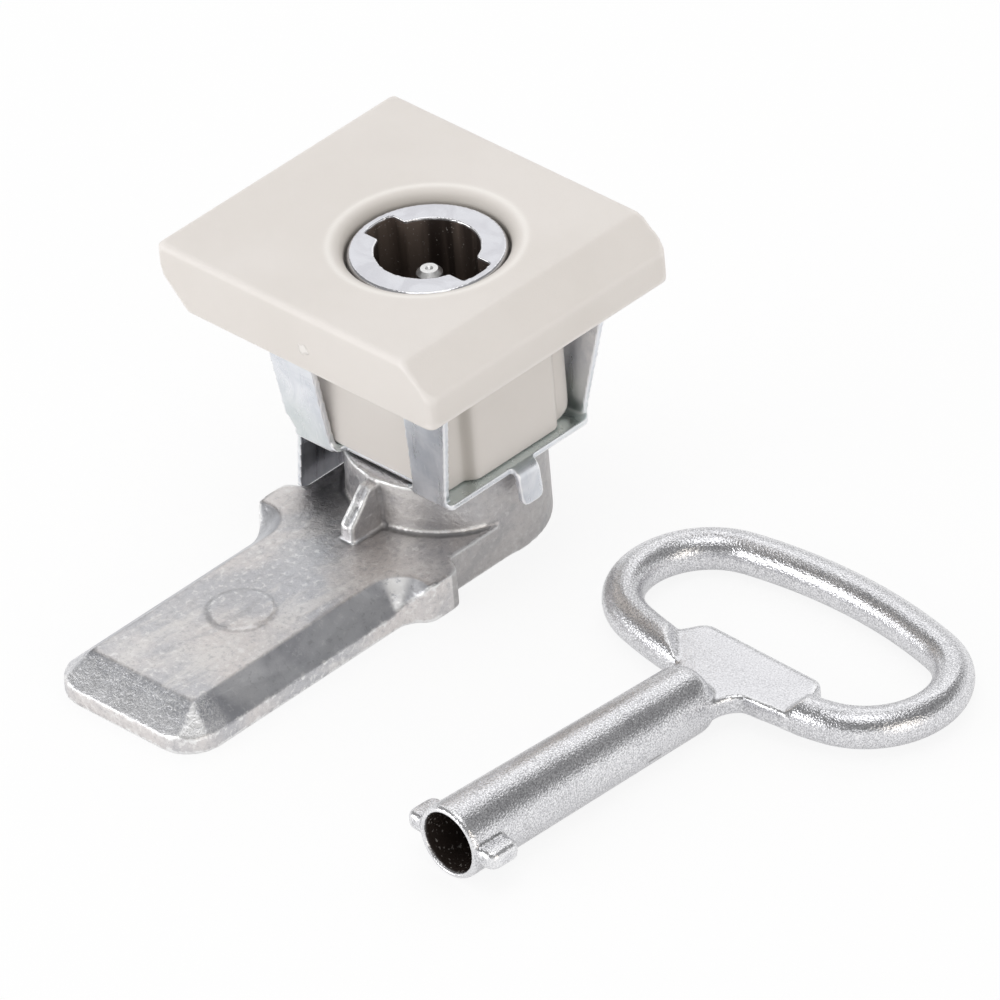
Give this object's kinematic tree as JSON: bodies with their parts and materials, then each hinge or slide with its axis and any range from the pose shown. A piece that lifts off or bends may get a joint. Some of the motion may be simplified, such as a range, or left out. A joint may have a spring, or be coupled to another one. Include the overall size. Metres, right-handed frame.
{
  "type": "quarter-turn cabinet latch",
  "caption": "Snap-in quarter-turn cabinet latch: rectangular head with a double-bit key socket, spring clip, wedge-shaped cam arm, and the loose key that turns it.",
  "frame": {"origin": "on the lock axis, in the plane where the head seats on the door panel", "axes": "+Z along the lock axis, out of the panel to the operator; the cam arm points along -Y at rest; the bevelled edge of the head is on +X"},
  "size_m": [0.0964, 0.0711, 0.0375],
  "materials": {
    "grey_plastic": "moulded, fine satin",
    "seal_rubber": "matte",
    "zinc_plated_sheet": "bluish white zinc plating",
    "bright_chrome": "bright plating",
    "plain_steel": "plain, lightly oiled",
    "raw_zinc": "raw die-cast zinc, mottled",
    "satin_chrome": "satin grain"
  },
  "bodies": {
    "latch_body": {"housing": "grey_plastic", "panel_seal": "seal_rubber", "spring_clip": "zinc_plated_sheet"},
    "core": {"key_insert": "bright_chrome", "socket_pin": "plain_steel", "insert_seal": "seal_rubber", "disc_spring": "plain_steel", "retaining_ring": "plain_steel", "cam": "raw_zinc", "cam_washer": "zinc_plated_sheet", "cam_screw": "zinc_plated_sheet"},
    "key": {"key": "satin_chrome"}
  },
  "joints": [
    {"name": "cam_turn", "type": "hinge", "parent": "latch_body", "child": "core", "pos_m": [0, 0, -0.0085], "axis": [0, 0, 1], "range_deg": [-2, 76]},
    {"name": "key_lift", "type": "slide", "parent": "core", "child": "key", "axis": [0, 0, 1], "range_m": [0, 0.06]}
  ]
}
